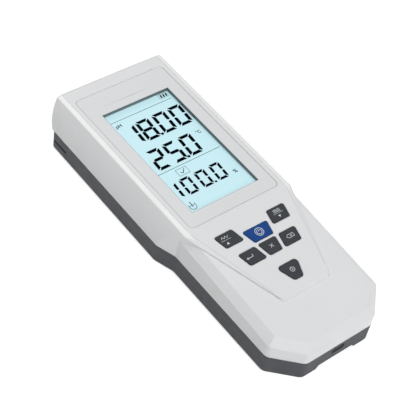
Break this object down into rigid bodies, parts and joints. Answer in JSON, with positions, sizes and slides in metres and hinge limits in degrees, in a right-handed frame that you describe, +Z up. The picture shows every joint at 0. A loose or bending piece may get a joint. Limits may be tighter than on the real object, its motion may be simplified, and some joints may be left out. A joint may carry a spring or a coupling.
{
  "type": "handheld ph meter",
  "caption": "Handheld pH meter with a tall display head, a narrower handle with a raised key field, and probe sockets at the display end.",
  "frame": {"origin": "centre of the meter's length and width, at the height of the surface it lies on", "axes": "+Y from the key end to the display end, +Z up through the keys and the display, +X to the right when the display is read"},
  "size_m": [0.08, 0.203, 0.0311],
  "materials": {
    "cover_white": "satin",
    "shell_grey": "fine texture",
    "overlay_white": "satin",
    "frame_white": "moulded",
    "light_guide": "diffuse",
    "lens_clear": "clear",
    "lcd_glass": "clear",
    "key_grey": "satin",
    "key_blue": "satin",
    "seal_rubber": "moulded",
    "mat_rubber": "moulded",
    "board_green": "solder mask",
    "chip_black": "moulded",
    "tinned_steel": "tinned",
    "nickel_plate": "nickel plated",
    "screw_steel": "zinc plated",
    "cell_can": "printed sleeve"
  },
  "bodies": {
    "meter": {"front_cover": "cover_white", "back_shell": "shell_grey", "housing_gasket": "seal_rubber", "display_overlay": "overlay_white", "window_seal": "seal_rubber", "display_window": "lens_clear", "lcd_panel": "lcd_glass", "lcd_backlight": "light_guide", "lcd_frame": "frame_white", "lcd_contact_strips": "seal_rubber", "main_board": "board_green", "board_screws": "screw_steel", "keypad_mat": "mat_rubber", "housing_screws": "screw_steel", "buzzer": "chip_black", "shield_can": "tinned_steel", "circuit_chips": "chip_black", "bnc_socket": "nickel_plate", "bnc_nut": "nickel_plate", "bnc_washer": "nickel_plate", "phono_socket": "nickel_plate", "phono_nut": "nickel_plate", "phono_washer": "nickel_plate", "usb_board": "board_green", "usb_port": "tinned_steel", "usb_board_screws": "screw_steel", "board_link": "chip_black", "battery_cells": "cell_can", "battery_contacts": "tinned_steel", "battery_door": "shell_grey", "battery_door_screws": "screw_steel"},
    "key_up": {"key_up": "key_grey"},
    "key_down": {"key_down": "key_grey"},
    "key_power": {"key_power": "key_blue"},
    "key_enter": {"key_enter": "key_grey"},
    "key_escape": {"key_escape": "key_grey"},
    "key_delete": {"key_delete": "key_grey"},
    "key_set": {"key_set": "key_grey"}
  },
  "joints": [
    {"name": "key_up_press", "type": "slide", "parent": "meter", "child": "key_up", "axis": [0, 0, -1], "range_m": [0, 0.0009], "stiffness_N_per_m": 1500},
    {"name": "key_down_press", "type": "slide", "parent": "meter", "child": "key_down", "axis": [0, 0, -1], "range_m": [0, 0.0009], "stiffness_N_per_m": 1500},
    {"name": "key_power_press", "type": "slide", "parent": "meter", "child": "key_power", "axis": [0, 0, -1], "range_m": [0, 0.0009], "stiffness_N_per_m": 1500},
    {"name": "key_enter_press", "type": "slide", "parent": "meter", "child": "key_enter", "axis": [0, 0, -1], "range_m": [0, 0.0009], "stiffness_N_per_m": 1500},
    {"name": "key_escape_press", "type": "slide", "parent": "meter", "child": "key_escape", "axis": [0, 0, -1], "range_m": [0, 0.0009], "stiffness_N_per_m": 1500},
    {"name": "key_delete_press", "type": "slide", "parent": "meter", "child": "key_delete", "axis": [0, 0, -1], "range_m": [0, 0.0009], "stiffness_N_per_m": 1500},
    {"name": "key_set_press", "type": "slide", "parent": "meter", "child": "key_set", "axis": [0, 0, -1], "range_m": [0, 0.0009], "stiffness_N_per_m": 1500}
  ]
}
